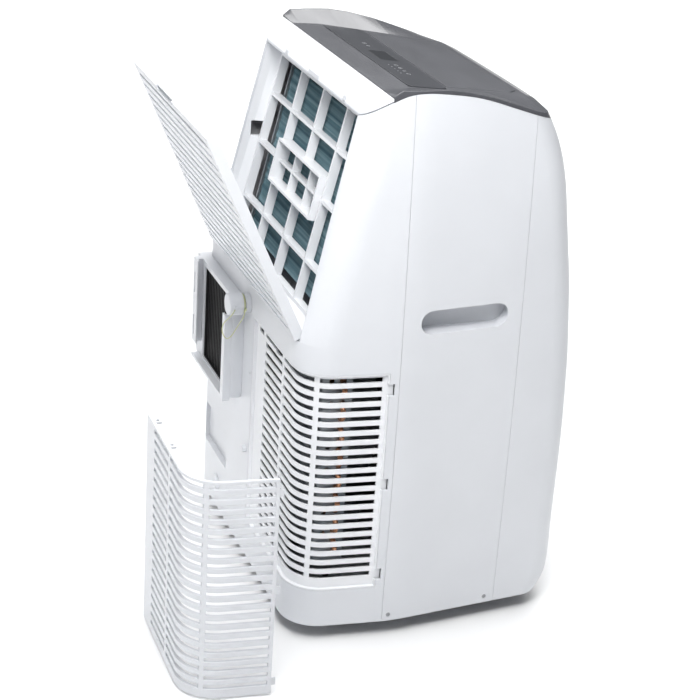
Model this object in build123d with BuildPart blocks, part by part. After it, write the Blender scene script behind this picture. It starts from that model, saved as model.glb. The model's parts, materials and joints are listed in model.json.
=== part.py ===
from build123d import *
from math import atan, cos, degrees, hypot, pi, radians, sin, tan
import os

# Portable room air conditioner, millimetres.
# +Z up, the front faces -Y, the floor is Z = 0 and X = 0 is the middle of the width.
# The upper filter door is modelled hinged open, and the lower rear grille cover is
# modelled taken off and held just above the floor beside the body.

# ---------------------------------------------------------------- driving dimensions
BODY_BOTTOM = 22.0  # underside of the casing above the floor
HINGE_Z = 412.0  # the line where the rear starts to lean forward
BODY_TOP = 745.0  # top of the casing blank, before the crown is cut
WALL = 3.0  # casing thickness
GAP = 0.3  # clearance between neighbouring mouldings
REAR_Y = 198.0  # lower rear face
REAR_LEAN = 0.233  # forward lean of the upper rear face, mm per mm
SIDE_APEX_Y = 62.0  # widest station of the sides
SIDE_APEX_X = 236.5
REAR_TAPER = 0.105  # the sides close in towards the rear
FRONT_TAPER = 0.088  # and towards the front
FRONT_CORNER_Y = -178.7
FRONT_BOW = 22.0  # how far the front bows out in its middle
REAR_SEAM_Y = 74.6
FRONT_SEAM_Y = -89.7

SLOT_PITCH = 13.0
SLOT_HEIGHT = 6.6
SLOT_COUNT = 22
TOP_SLOT_Z = 366.5

RECESS_X = -22.0  # far end of the grille recess, on the rear face
RECESS_Y = 87.0  # front end of the grille recess, on the side
RECESS_BOTTOM = 75.0
RECESS_TOP = 376.0
RECESS_DEPTH = 5.0

DOOR_LENGTH = 286.3
DOOR_DEPTH = 13.0
DOOR_OPEN = 24.5  # lean of the open door from vertical
DOOR_SLOTS = 17

COVER_TRAVEL = (-94.5, 165.7, -75.0)  # from fitted to standing beside the body

LATTICE_SHIFT = 26.0  # the guard lies this far inside the rear face
CASTER_X = 158.0
CASTER_Y = (-118.0, 128.0)
WHEEL_RADIUS = 17.0

os.makedirs("parts", exist_ok=True)


def save(piece, name):
    piece.label = name
    export_step(piece, "parts/" + name + ".step")


# ---------------------------------------------------------------- casing shape
def side_x(y, z):
    """Half the width of the lower casing at a place behind its widest station."""
    return SIDE_APEX_X - side_lean(z) - REAR_TAPER * (y - SIDE_APEX_Y)


def side_lean(z):
    """How far the sides curve in at a height."""
    return 6.6e-5 * max(z - 158.5, 0.0) ** 2


def front_lean(z):
    """How far the front face falls back at a height."""
    crown = 2.5e-4 * max(z - 240.0, 0.0) ** 2 + 2.6e-3 * max(z - 610.0, 0.0) ** 2
    toe = 14.0 * (max(60.0 - z, 0.0) / 38.0) ** 2
    return crown + toe


def rear_y(z):
    return REAR_Y - REAR_LEAN * max(z - HINGE_Z, 0.0)


def inset_polygon(points, amount):
    """Move every side of a clockwise or counter-clockwise polygon inward."""
    count = len(points)
    moved = []
    for i in range(count):
        (ax, ay), (bx, by), (cx, cy) = points[i - 1], points[i], points[(i + 1) % count]
        la, lb = hypot(bx - ax, by - ay), hypot(cx - bx, cy - by)
        n1 = ((by - ay) / la, -(bx - ax) / la)
        n2 = ((cy - by) / lb, -(cx - bx) / lb)
        scale = amount / (1.0 + n1[0] * n2[0] + n1[1] * n2[1])
        moved.append((bx - scale * (n1[0] + n2[0]), by - scale * (n1[1] + n2[1])))
    return moved


def casing_section(z, inset):
    """Corner points and corner radii of the casing's outline at a height."""
    apex = SIDE_APEX_X - side_lean(z)
    back = rear_y(z)
    front = FRONT_CORNER_Y + front_lean(z)
    rear_x = apex - REAR_TAPER * (back - SIDE_APEX_Y)
    front_x = apex - FRONT_TAPER * (SIDE_APEX_Y - front)
    points = [
        (-rear_x, back),
        (-apex, SIDE_APEX_Y),
        (-front_x, front),
        (0.0, front - FRONT_BOW),
        (front_x, front),
        (apex, SIDE_APEX_Y),
        (rear_x, back),
    ]
    rear_radius = 50.0 - 8.0 * max(z - HINGE_Z, 0.0) / 300.0
    radii = [rear_radius, 180.0, 38.0, 900.0, 38.0, 180.0, rear_radius]
    return inset_polygon(points, inset), [r - inset for r in radii]


LOWER_STATIONS = (22.0, 34.0, 47.0, 60.0, 110.0, 180.0, 260.0, 340.0, 396.0, 412.0)
UPPER_STATIONS = (412.0, 428.0, 490.0, 560.0, 620.0, 670.0, 710.0, 745.0)


def casing_blank(stations, inset):
    with BuildPart() as blank:
        for z in stations:
            points, radii = casing_section(z, inset)
            with BuildSketch(Plane.XY.offset(z)):
                with BuildLine():
                    FilletPolyline(*points, radius=radii, close=True)
                make_face()
        loft()
    return blank.part


def above_crown(drop):
    """Everything above the casing's top edge, lowered by an amount."""
    with BuildPart() as above:
        with BuildSketch(Plane.YZ.offset(-300.0)):
            with BuildLine():
                crown = Spline(
                    (134.0, 693.0 - drop),
                    (103.0, 716.0 - drop),
                    (84.0, 725.0 - drop),
                    (34.0, 726.0 - drop),
                    (-12.0, 718.5 - drop),
                    (-60.0, 703.5 - drop),
                    (-105.0, 688.5 - drop),
                    (-150.0, 671.0 - drop),
                )
                far_corners = ((-260.0, 633.0 - drop), (-260.0, 800.0), (240.0, 800.0), (240.0, 622.0))
                Polyline(crown @ 1, *far_corners, crown @ 0)
            make_face()
        extrude(amount=600.0)
    return above.part


print("casing blanks")
outer_lower = casing_blank(LOWER_STATIONS, 0.0)
outer_upper = casing_blank(UPPER_STATIONS, 0.0)
inner_lower = casing_blank(LOWER_STATIONS, WALL)
inner_upper = casing_blank(UPPER_STATIONS, WALL)
COVER_LIP = 5.0  # visible edge of the dark top cover

with BuildPart() as casing:
    add(outer_lower)
    add(outer_upper)
    add(inner_lower, mode=Mode.SUBTRACT)
    add(inner_upper, mode=Mode.SUBTRACT)
    add(above_crown(COVER_LIP), mode=Mode.SUBTRACT)


def keep_band(low_y, high_y):
    """A box over the casing between two planes across Y."""
    with BuildPart() as band:
        with Locations((0.0, (low_y + high_y) / 2, 400.0)):
            Box(700.0, high_y - low_y, 900.0)
    return band.part


SEAM = 0.35
HANDLE_Y = -9.5
HANDLE_Z = 439.0
HANDLE_LENGTH = 121.0
HANDLE_HEIGHT = 31.0
SCREW_Z = 31.0
SCREW_YS = (66.0, -76.0)
SCREW_XS = (235.0, 223.5)
SCREW_HOLE = 3.2
SCREW_RADIUS = 2.9
SCREW_LENGTH = 7.0
GLAND_X = 120.0
GLAND_Z = 60.0
COVER_REAR_Y = 100.6  # rear edge of the dark top cover

def box_between(xs, ys, zs, mode=Mode.ADD):
    """Add or cut a box, given by its low and high faces, in the active part."""
    with Locations(((xs[0] + xs[1]) / 2, (ys[0] + ys[1]) / 2, (zs[0] + zs[1]) / 2)):
        Box(xs[1] - xs[0], ys[1] - ys[0], zs[1] - zs[0], mode=mode)


def rod_along_x(xs, y, z, radius, mode=Mode.ADD):
    with Locations(((xs[0] + xs[1]) / 2, y, z)):
        Cylinder(radius, xs[1] - xs[0], rotation=(0, 90, 0), mode=mode)


def rod_along_y(x, ys, z, radius, mode=Mode.ADD):
    with Locations((x, (ys[0] + ys[1]) / 2, z)):
        Cylinder(radius, ys[1] - ys[0], rotation=(90, 0, 0), mode=mode)


def rod_along_z(x, y, zs, radius, mode=Mode.ADD):
    with Locations((x, y, (zs[0] + zs[1]) / 2)):
        Cylinder(radius, zs[1] - zs[0], mode=mode)


def slab(blank, top_drop, bottom_drop):
    """The part of a blank between two lowered copies of the crown."""
    with BuildPart() as layer:
        add(blank)
        add(above_crown(top_drop), mode=Mode.SUBTRACT)
        add(above_crown(bottom_drop), mode=Mode.INTERSECT)
    return layer.part


# ---------------------------------------------------------------- casing panels
print("front shell")
with BuildPart() as front_shell:
    add(casing.part)
    add(keep_band(-300.0, FRONT_SEAM_Y - SEAM), mode=Mode.INTERSECT)
save(front_shell.part, "front_shell")

print("side panels")
with BuildPart() as side_ring:
    add(casing.part)
    add(keep_band(FRONT_SEAM_Y, REAR_SEAM_Y), mode=Mode.INTERSECT)
    with BuildSketch(Plane.YZ.offset(-300.0)):
        with Locations((HANDLE_Y, HANDLE_Z)):
            SlotOverall(HANDLE_LENGTH, HANDLE_HEIGHT)
    extrude(amount=600.0, mode=Mode.SUBTRACT)
    for screw_y in SCREW_YS:
        rod_along_x((-300.0, 300.0), screw_y, SCREW_Z, SCREW_HOLE, mode=Mode.SUBTRACT)

for side_name, side_sign in (("side_panel_near", -1), ("side_panel_far", 1)):
    with BuildPart() as side_panel:
        add(side_ring.part)
        with Locations((side_sign * 300.0, 0.0, 400.0)):
            Box(500.0, 700.0, 900.0, mode=Mode.INTERSECT)
    save(side_panel.part, side_name)

print("handle cups")
liner_upper = casing_blank(UPPER_STATIONS, WALL + 0.15)
CUP_FLOOR_X = 198.0
CUP_LIP_X = 219.0
for cup_name, cup_sign in (("handle_cup_near", -1), ("handle_cup_far", 1)):
    with BuildPart() as handle_cup:
        for low_x, high_x, rise, growth, mode in (
            (CUP_FLOOR_X, 240.0, 5.0, 13.0, Mode.ADD),
            (CUP_FLOOR_X + 2.5, 240.0, 0.0, 0.0, Mode.SUBTRACT),
            (CUP_FLOOR_X + 2.5, CUP_LIP_X, 5.0, 8.0, Mode.SUBTRACT),
        ):
            with BuildSketch(Plane.YZ.offset(low_x)):
                with Locations((HANDLE_Y, HANDLE_Z + rise)):
                    SlotOverall(HANDLE_LENGTH + growth, HANDLE_HEIGHT + growth)
            extrude(amount=high_x - low_x, mode=mode)
        add(liner_upper, mode=Mode.INTERSECT)
    cup_part = handle_cup.part if cup_sign > 0 else handle_cup.part.mirror(Plane.YZ)
    save(cup_part, cup_name)

# ---------------------------------------------------------------- base and casters
print("base")
PAN_INSET = WALL + 0.3
PAN_FLOOR = (42.0, 46.0)
PAN_SECTION_Z = 24.0  # the pan follows the casing's outline at this height
PAN_RIM_Z = 70.0
STEM_RADIUS = 5.0
SHAFT_GAP = 0.05
BRACKET_INSET = 4.6  # the screws' brackets hang this far inside the screws' heads
CASTER_PLACES = [(x, y) for x in (-CASTER_X, CASTER_X) for y in CASTER_Y]
with BuildPart() as base_pan:
    for low_z, high_z, inset, mode in (
        (PAN_FLOOR[0], PAN_RIM_Z, PAN_INSET, Mode.ADD),
        (PAN_FLOOR[1], PAN_RIM_Z, PAN_INSET + 3.0, Mode.SUBTRACT),
    ):
        pan_points, pan_radii = casing_section(PAN_SECTION_Z, inset)
        with BuildSketch(Plane.XY.offset(low_z)):
            with BuildLine():
                FilletPolyline(*pan_points, radius=pan_radii, close=True)
            make_face()
        extrude(amount=high_z - low_z, mode=mode)
    for x, y in CASTER_PLACES:
        rod_along_z(x, y, (PAN_FLOOR[1], 56.0), 10.0)
        rod_along_z(x, y, (PAN_FLOOR[0] - 1.0, 60.0), STEM_RADIUS + SHAFT_GAP, mode=Mode.SUBTRACT)
    box_between((GLAND_X - 15.0, GLAND_X + 15.0), (160.0, 200.0), (50.0, 80.0), mode=Mode.SUBTRACT)
    for screw_y, screw_x in zip(SCREW_YS, SCREW_XS):
        for sign in (-1, 1):
            near_x, far_x = sorted((sign * (screw_x - 14.0), sign * (screw_x - BRACKET_INSET)))
            box_between((near_x, far_x), (screw_y - 8.0, screw_y + 8.0), (24.0, PAN_FLOOR[1]))
        rod_along_x((-300.0, 300.0), screw_y, SCREW_Z, SCREW_RADIUS + 0.1, mode=Mode.SUBTRACT)
save(base_pan.part, "base_pan")

WHEEL_TRAIL = 8.0
WHEEL_WIDTH = 14.0
AXLE_RADIUS = 3.0
FORK_BRIDGE = (36.0, 40.5)
for number, (x, y) in enumerate(CASTER_PLACES, start=1):
    wheel_y = y + WHEEL_TRAIL
    with BuildPart() as caster_fork:
        rod_along_z(x, y, (FORK_BRIDGE[0], 55.0), STEM_RADIUS)
        box_between((x - 11.0, x + 11.0), (y - 9.0, y + 17.0), FORK_BRIDGE)
        for low_x in (x - 11.0, x + 8.5):
            box_between((low_x, low_x + 2.5), (y - 1.0, y + 17.0), (11.0, FORK_BRIDGE[0]))
        rod_along_x((x - 11.0, x + 11.0), wheel_y, WHEEL_RADIUS, AXLE_RADIUS)
        fillet(caster_fork.edges().filter_by(Axis.Z).group_by(Axis.Z)[-2:][0], radius=1.5)
    save(caster_fork.part, f"caster_fork_{number}")
    with BuildPart() as caster_wheel:
        rod_along_x((x - WHEEL_WIDTH / 2, x + WHEEL_WIDTH / 2), wheel_y, WHEEL_RADIUS, WHEEL_RADIUS)
        fillet(caster_wheel.edges(), radius=2.0)
        rod_along_x((x - 8.0, x + 8.0), wheel_y, WHEEL_RADIUS, AXLE_RADIUS + SHAFT_GAP, mode=Mode.SUBTRACT)
    save(caster_wheel.part, f"caster_wheel_{number}")

print("side screws")
with BuildPart() as side_screws:
    for screw_y, screw_x in zip(SCREW_YS, SCREW_XS):
        for sign in (-1, 1):
            inner, outer = sorted((sign * (screw_x - SCREW_LENGTH), sign * screw_x))
            rod_along_x((inner, outer), screw_y, SCREW_Z, SCREW_RADIUS)
            slot_low, slot_high = sorted((sign * (screw_x - 1.0), sign * (screw_x + 1.0)))
            for half_y, half_z in ((0.4, 1.9), (1.9, 0.4)):
                box_between(
                    (slot_low, slot_high),
                    (screw_y - half_y, screw_y + half_y),
                    (SCREW_Z - half_z, SCREW_Z + half_z),
                    mode=Mode.SUBTRACT,
                )
save(side_screws.part, "side_screws")

# ---------------------------------------------------------------- rear shell
LEAN = atan(REAR_LEAN)
UP_LEAN = 1.0 / cos(LEAN)  # distance up the leaning face for 1 mm of height
leaning = Plane(
    origin=(0.0, REAR_Y, HINGE_Z), x_dir=(-1.0, 0.0, 0.0), z_dir=(0.0, cos(LEAN), sin(LEAN))
)


def up_face(z):
    """Distance up the leaning face of a height."""
    return (z - HINGE_Z) * UP_LEAN


def trapezoid(low_half, high_half, low_v, high_v, mode=Mode.ADD):
    """A shape symmetric about the middle, in the active sketch."""
    corners = ((-low_half, low_v), (low_half, low_v), (high_half, high_v), (-high_half, high_v))
    Polygon(*corners, align=None, mode=mode)


OPENING_HALF = (192.0, 178.5)
OPENING_V = (0.5, up_face(692.0))
DRAIN_X = 3.0
DRAIN_Z = 386.0
MOUTH_X = (37.0, 160.0)
MOUTH_Z = (243.0, 380.0)

print("rear shell")
rear_casing = casing.part & keep_band(REAR_SEAM_Y + SEAM, 300.0)
rear_bridge = slab(outer_upper, 0.0, WALL) & keep_band(COVER_REAR_Y + GAP, 136.0)
TABS_Z = (355.0, 225.0, 95.0)
SHELF_X = (80.0, 190.0)
SHELF_Z = (101.0, 160.0)
with BuildPart() as rear_shell:
    add(rear_casing)
    add(rear_bridge)
    with BuildSketch(leaning.offset(-24.0)):
        trapezoid(*OPENING_HALF, *OPENING_V)
    extrude(amount=40.0, mode=Mode.SUBTRACT)
    box_between((-260.0, RECESS_X), (RECESS_Y, 260.0), (RECESS_BOTTOM, RECESS_TOP), mode=Mode.SUBTRACT)
    for tab_z in TABS_Z:
        tab_slot = (tab_z - 9.0, tab_z + 7.0)
        box_between((-260.0, -200.0), (RECESS_Y - 7.0, RECESS_Y), tab_slot, mode=Mode.SUBTRACT)
    box_between(MOUTH_X, (180.0, 260.0), MOUTH_Z, mode=Mode.SUBTRACT)
    box_between(SHELF_X, (190.0, 260.0), SHELF_Z, mode=Mode.SUBTRACT)
    box_between((SHELF_X[0] - 2.5, SHELF_X[1] + 2.5), (187.5, 190.0), (SHELF_Z[0] - 2.5, SHELF_Z[1] + 2.5))
    for low_z in (SHELF_Z[0] - 2.5, SHELF_Z[1]):
        box_between((SHELF_X[0] - 2.5, SHELF_X[1] + 2.5), (189.0, 195.2), (low_z, low_z + 2.5))
    for low_x in (SHELF_X[0] - 2.5, SHELF_X[1]):
        box_between((low_x, low_x + 2.5), (189.0, 195.2), (SHELF_Z[0], SHELF_Z[1]))
    rod_along_y(DRAIN_X, (180.0, 210.0), DRAIN_Z, 9.3, mode=Mode.SUBTRACT)
    rod_along_y(GLAND_X, (180.0, 210.0), GLAND_Z, 8.2, mode=Mode.SUBTRACT)
    rod_along_y(-14.0, (180.0, 210.0), 292.0, 2.0, mode=Mode.SUBTRACT)
    with Locations((-10.0, REAR_Y, 178.0)):
        Cylinder(5.0, 12.0, rotation=(90, 0, 0))
save(rear_shell.part, "rear_shell")

# ---------------------------------------------------------------- upper air intake
GUARD_DEPTH = 12.0
GUARD_FACE = -LATTICE_SHIFT * cos(LEAN)
GUARD_HALF = 180.0
GUARD_V = (up_face(428.0), up_face(683.0))
print("intake surround")
HINGE_INSET = 5.3  # the door's pins lie this far inside the leaning face
DOOR_WELL = 15.0  # depth of the straight part of the well, for the shut door
PIN_RADIUS = 2.0
PIN_XS = (-165.0, 165.0)
KNUCKLE_ROOM = 7.0  # radius of the pocket that each of the door's tabs turns in
pin_center = leaning.origin - leaning.z_dir * HINGE_INSET
liner_mid = casing_blank((385.0, HINGE_Z), WALL + 0.15)
with BuildPart() as flare:
    with BuildSketch(leaning.offset(GUARD_FACE)):
        trapezoid(GUARD_HALF, GUARD_HALF - 3.0, *GUARD_V)
    with BuildSketch(leaning.offset(-DOOR_WELL)):
        trapezoid(OPENING_HALF[0] - 0.8, OPENING_HALF[1] - 0.8, OPENING_V[0] + 0.8, OPENING_V[1] - 0.8)
    loft(ruled=True)
with BuildPart() as intake_surround:
    with BuildSketch(leaning.offset(GUARD_FACE - GUARD_DEPTH)):
        trapezoid(OPENING_HALF[0] + 4.0, OPENING_HALF[1] + 2.0, OPENING_V[0] - 7.0, OPENING_V[1] + 2.0)
    extrude(amount=-GUARD_FACE + GUARD_DEPTH - WALL - GAP)
    add(liner_upper + liner_mid, mode=Mode.INTERSECT)
    add(above_crown(WALL + GAP), mode=Mode.SUBTRACT)
    add(flare.part, mode=Mode.SUBTRACT)
    with BuildSketch(leaning.offset(-DOOR_WELL)):
        trapezoid(OPENING_HALF[0] - 0.8, OPENING_HALF[1] - 0.8, OPENING_V[0] + 0.8, OPENING_V[1] - 0.8)
    extrude(amount=DOOR_WELL + 1.0, mode=Mode.SUBTRACT)
    with BuildSketch(leaning.offset(GUARD_FACE - GUARD_DEPTH - 1.0)):
        trapezoid(GUARD_HALF, GUARD_HALF - 3.0, *GUARD_V)
    extrude(amount=GUARD_DEPTH + 2.0, mode=Mode.SUBTRACT)
    box_between((176.0, 199.0), (130.0, 148.0), (559.0, 580.0), mode=Mode.SUBTRACT)
    for pin_x in PIN_XS:
        for half_length, radius in ((13.0, PIN_RADIUS + SHAFT_GAP), (6.0, KNUCKLE_ROOM)):
            ends = (pin_x - half_length, pin_x + half_length)
            rod_along_x(ends, pin_center.Y, pin_center.Z, radius, Mode.SUBTRACT)
save(intake_surround.part, "intake_surround")

print("evaporator guard")
RIB = 4.0
POCKET_X = (-82.0, 85.0)
POCKET_V = (up_face(532.0), up_face(589.0))
SHELF_V = up_face(560.0)
guard_plane = leaning.offset(GUARD_FACE)


def guard_rect(xs, vs):
    """A rectangle in the active sketch on a leaning plane, by X and by V."""
    with Locations((-(xs[0] + xs[1]) / 2, (vs[0] + vs[1]) / 2)):
        Rectangle(xs[1] - xs[0], vs[1] - vs[0])


with BuildPart() as evaporator_guard:
    with BuildSketch(guard_plane):
        trapezoid(GUARD_HALF - GAP, GUARD_HALF - 3.0 - GAP, GUARD_V[0] + GAP, GUARD_V[1] - GAP)
        trapezoid(GUARD_HALF - 5.0, GUARD_HALF - 8.0, GUARD_V[0] + 5.0, GUARD_V[1] - 5.0, Mode.SUBTRACT)
    extrude(amount=-GUARD_DEPTH)
    with BuildSketch(guard_plane):
        for rib_x in (-88.0, 0.0, 88.0):
            guard_rect((rib_x - RIB / 2, rib_x + RIB / 2), (GUARD_V[0] + 3.0, GUARD_V[1] - 3.0))
        for rib_v in (up_face(626.0), SHELF_V, up_face(483.0)):
            guard_rect((3.0 - GUARD_HALF, GUARD_HALF - 3.0), (rib_v - RIB / 2, rib_v + RIB / 2))
    extrude(amount=-GUARD_DEPTH)
    with BuildSketch(guard_plane.offset(-GUARD_DEPTH)):
        guard_rect(POCKET_X, POCKET_V)
    extrude(amount=GUARD_DEPTH + 8.0)
    with BuildSketch(guard_plane.offset(-GUARD_DEPTH)):
        guard_rect((POCKET_X[0] + 3.0, POCKET_X[1] - 3.0), (POCKET_V[0] + 3.0, POCKET_V[1] - 3.0))
    extrude(amount=GUARD_DEPTH + 9.0, mode=Mode.SUBTRACT)
    with BuildSketch(guard_plane.offset(-GUARD_DEPTH)):
        guard_rect(POCKET_X, (SHELF_V - 1.5, SHELF_V + 1.5))
        for rib_x in (-30.0, 30.0):
            guard_rect((rib_x - 1.5, rib_x + 1.5), POCKET_V)
    extrude(amount=GUARD_DEPTH)
save(evaporator_guard.part, "evaporator_guard")

# ---------------------------------------------------------------- filter door
print("filter door")
OPEN_ANGLE = radians(DOOR_OPEN)
open_normal = Vector(0.0, cos(OPEN_ANGLE), -sin(OPEN_ANGLE))
door_plane = Plane(origin=pin_center + open_normal * HINGE_INSET, x_dir=(-1.0, 0.0, 0.0), z_dir=open_normal)
DOOR_SKIN = 2.2
DOOR_HALF = (190.5, 177.0)
DOOR_V = (4.2, DOOR_LENGTH)
SLAT_PITCH = 15.8
TAB_FACE = 1.1 - HINGE_INSET
with BuildPart() as filter_door:
    with BuildSketch(door_plane):
        trapezoid(*DOOR_HALF, *DOOR_V)
    extrude(amount=-DOOR_DEPTH)
    with BuildSketch(door_plane.offset(-DOOR_SKIN)):
        trapezoid(DOOR_HALF[0] - 2.5, DOOR_HALF[1] - 2.5, DOOR_V[0] + 2.5, DOOR_V[1] - 2.5)
    extrude(amount=-DOOR_DEPTH, mode=Mode.SUBTRACT)
    with BuildSketch(door_plane.offset(1.0)):
        for i in range(DOOR_SLOTS):
            slot_v = 18.0 + SLAT_PITCH * i
            half = DOOR_HALF[0] - 14.0 - 0.048 * slot_v
            with Locations((0.0, slot_v)):
                SlotOverall(2.0 * half, 6.0)
    extrude(amount=-DOOR_SKIN - 2.0, mode=Mode.SUBTRACT)
    with BuildSketch(door_plane.offset(1.0)):
        with Locations((-18.0, DOOR_LENGTH)):
            RectangleRounded(76.0, 14.0, 4.0)
    extrude(amount=-DOOR_SKIN - 1.5, mode=Mode.SUBTRACT)
    # Middle stiffener, then a pin and the tab that carries it at each end of the lower edge.
    with BuildSketch(door_plane.offset(-DOOR_SKIN)):
        guard_rect((-1.5, 1.5), (DOOR_V[0] + 2.0, DOOR_V[1] - 2.0))
    extrude(amount=-2.0)
    for pin_x in PIN_XS:
        rod_along_x((pin_x - 12.0, pin_x + 12.0), pin_center.Y, pin_center.Z, PIN_RADIUS)
        with BuildSketch(door_plane.offset(TAB_FACE)):
            guard_rect((pin_x - 5.0, pin_x + 5.0), (-1.0, DOOR_V[0] + 1.0))
        extrude(amount=-3.0)
save(filter_door.part, "filter_door")

print("filter mesh")
MESH_DEPTH = (-6.2, -8.6)
with BuildPart() as filter_mesh:
    with BuildSketch(door_plane.offset(MESH_DEPTH[0])):
        trapezoid(DOOR_HALF[0] - 3.0, DOOR_HALF[1] - 3.0, DOOR_V[0] + 3.0, DOOR_V[1] - 3.0)
    extrude(amount=MESH_DEPTH[1] - MESH_DEPTH[0])
    with BuildSketch(door_plane.offset(MESH_DEPTH[0])):
        for column_x in (-120.0, -40.0, 40.0, 120.0):
            for row in range(6):
                guard_rect((column_x - 36.0, column_x + 36.0), (14.0 + 44.0 * row, 53.0 + 44.0 * row))
    extrude(amount=-1.6, mode=Mode.SUBTRACT)
save(filter_mesh.part, "filter_mesh")

# ---------------------------------------------------------------- lower rear grille
print("lower grille")
REAR_SLOTS = (-129.4, -60.7)
REAR_RIB = (-137.0, -129.4)
SIDE_RIB = (172.0, 177.0)
SIDE_SLOTS = (94.0, 172.0)
lower_5 = casing_blank(LOWER_STATIONS[3:], RECESS_DEPTH)
lower_7 = casing_blank(LOWER_STATIONS[3:], RECESS_DEPTH + 2.5)
lower_flush = casing_blank(LOWER_STATIONS[3:], 0.3)
lower_back = casing_blank(LOWER_STATIONS[3:], 4.7)

with BuildPart() as slot_cutters:
    for i in range(SLOT_COUNT):
        slot_z = TOP_SLOT_Z - SLOT_PITCH * i
        row = (slot_z - SLOT_HEIGHT / 2, slot_z + SLOT_HEIGHT / 2)
        box_between(REAR_SLOTS, (150.0, 240.0), row)
        box_between((-260.0, REAR_RIB[0]), (SIDE_RIB[1], 240.0), row)
        box_between((-260.0, -190.0), SIDE_SLOTS, row)

with BuildPart() as lower_guard_grille:
    add(lower_5)
    add(lower_7, mode=Mode.SUBTRACT)
    grille_x = (-260.0, RECESS_X - 0.2)
    box_between(grille_x, (RECESS_Y - 6.5, 260.0), (RECESS_BOTTOM, RECESS_TOP), mode=Mode.INTERSECT)
    add(slot_cutters.part, mode=Mode.SUBTRACT)
    for tab_x in (-42.0, -112.0):
        box_between((tab_x - 9.0, tab_x + 8.0), (180.0, 200.0), (361.0, 371.5), mode=Mode.SUBTRACT)
RIM = 1.6
with BuildPart() as recess_rim:
    add(lower_flush)
    add(lower_7, mode=Mode.SUBTRACT)
    for step, mode in ((GAP, Mode.INTERSECT), (GAP + RIM, Mode.SUBTRACT)):
        rim_z = (RECESS_BOTTOM + step, RECESS_TOP - step)
        box_between((-260.0, RECESS_X - step), (RECESS_Y + step, 260.0), rim_z, mode=mode)
    for tab_z in TABS_Z:
        box_between((-260.0, -220.0), (80.0, 92.0), (tab_z - 9.0, tab_z + 7.0), mode=Mode.SUBTRACT)
save(lower_guard_grille.part + recess_rim.part, "lower_guard_grille")

print("grille cover")
COVER_X = RECESS_X - 2.4
COVER_Y = RECESS_Y + 2.4
COVER_Z = (RECESS_BOTTOM + 3.6, RECESS_TOP - 2.6)
with BuildPart() as fitted_cover:
    add(lower_flush)
    add(lower_back, mode=Mode.SUBTRACT)
    box_between((-260.0, COVER_X), (COVER_Y, 260.0), COVER_Z, mode=Mode.INTERSECT)
    add(slot_cutters.part, mode=Mode.SUBTRACT)
    for tab_x in (-40.0, -110.0):
        box_between((tab_x - 6.0, tab_x + 6.0), (184.5, 196.0), (368.0, 370.4))
        rod_along_z(tab_x, 188.5, (366.0, 372.0), 2.2, mode=Mode.SUBTRACT)
    for tab_z in TABS_Z:
        tab_x = 0.9 - side_x(COVER_Y, tab_z)
        box_between((tab_x, tab_x + 1.5), (COVER_Y - 5.5, COVER_Y + 1.0), (tab_z - 5.0, tab_z + 5.0))
save(Pos(*COVER_TRAVEL) * fitted_cover.part, "grille_cover")

# ---------------------------------------------------------------- hot air outlet and drain
print("exhaust")
ADAPTER_Y = 214.0
RAIL_Y = 224.0
ADAPTER_X = (20.0, 196.0)
ADAPTER_Z = (235.0, 387.0)
wall_skin = casing_blank(LOWER_STATIONS[3:], -0.15)
with BuildPart() as exhaust_adapter:
    box_between(ADAPTER_X, (188.0, ADAPTER_Y), ADAPTER_Z)
    fillet(exhaust_adapter.edges().filter_by(Axis.Y).sort_by(Axis.Z)[:2], radius=16.0)
    add(wall_skin, mode=Mode.SUBTRACT)
    box_between((170.0, 182.0), (ADAPTER_Y, RAIL_Y), (262.0, ADAPTER_Z[1]))
    box_between((162.0, 182.0), (RAIL_Y - 2.5, RAIL_Y), (262.0, ADAPTER_Z[1]))
    box_between((22.0, 182.0), (ADAPTER_Y, RAIL_Y), (236.5, 241.0))
    box_between((22.0, 29.0), (ADAPTER_Y, RAIL_Y), (241.0, ADAPTER_Z[1] - 26.0))
    box_between((22.0, 35.0), (RAIL_Y - 2.5, RAIL_Y), (241.0, ADAPTER_Z[1] - 26.0))
    box_between(MOUTH_X, (180.0, 260.0), MOUTH_Z, mode=Mode.SUBTRACT)
    for low_z, high_z in ((272.0, 302.0), (336.0, 366.0)):
        box_between((172.5, 177.0), (ADAPTER_Y + 2.0, 240.0), (low_z, high_z), mode=Mode.SUBTRACT)
save(exhaust_adapter.part, "exhaust_adapter")

with BuildPart() as exhaust_louvres:
    box_between(MOUTH_X, (190.0, 212.0), MOUTH_Z)
    inner_x = (MOUTH_X[0] + 2.5, MOUTH_X[1] - 2.5)
    box_between(inner_x, (189.0, 213.0), (MOUTH_Z[0] + 2.5, MOUTH_Z[1] - 2.5), mode=Mode.SUBTRACT)
    offset(amount=-0.25)
    for i in range(15):
        blade_x = MOUTH_X[0] + 7.7 * (i + 1)
        box_between((blade_x - 0.9, blade_x + 0.9), (194.0, 209.0), (MOUTH_Z[0] + 1.5, MOUTH_Z[1] - 1.5))
    for bar_z in (288.0, 335.0):
        box_between((MOUTH_X[0] + 1.5, MOUTH_X[1] - 1.5), (196.0, 200.0), (bar_z - 1.2, bar_z + 1.2))
save(exhaust_louvres.part, "exhaust_louvres")

print("drain")
SPIGOT_RADIUS = 9.0
CAP_RADIUS = 15.0
CAP_Y = (209.0, 228.0)
with BuildPart() as drain_spigot:
    rod_along_y(DRAIN_X, (182.0, 224.0), DRAIN_Z, SPIGOT_RADIUS)
    rod_along_y(DRAIN_X, (REAR_Y + 0.15, 205.5), DRAIN_Z, 13.5)
    rod_along_y(DRAIN_X, (180.0, 226.0), DRAIN_Z, 6.5, mode=Mode.SUBTRACT)
save(drain_spigot.part, "drain_spigot")

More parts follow.
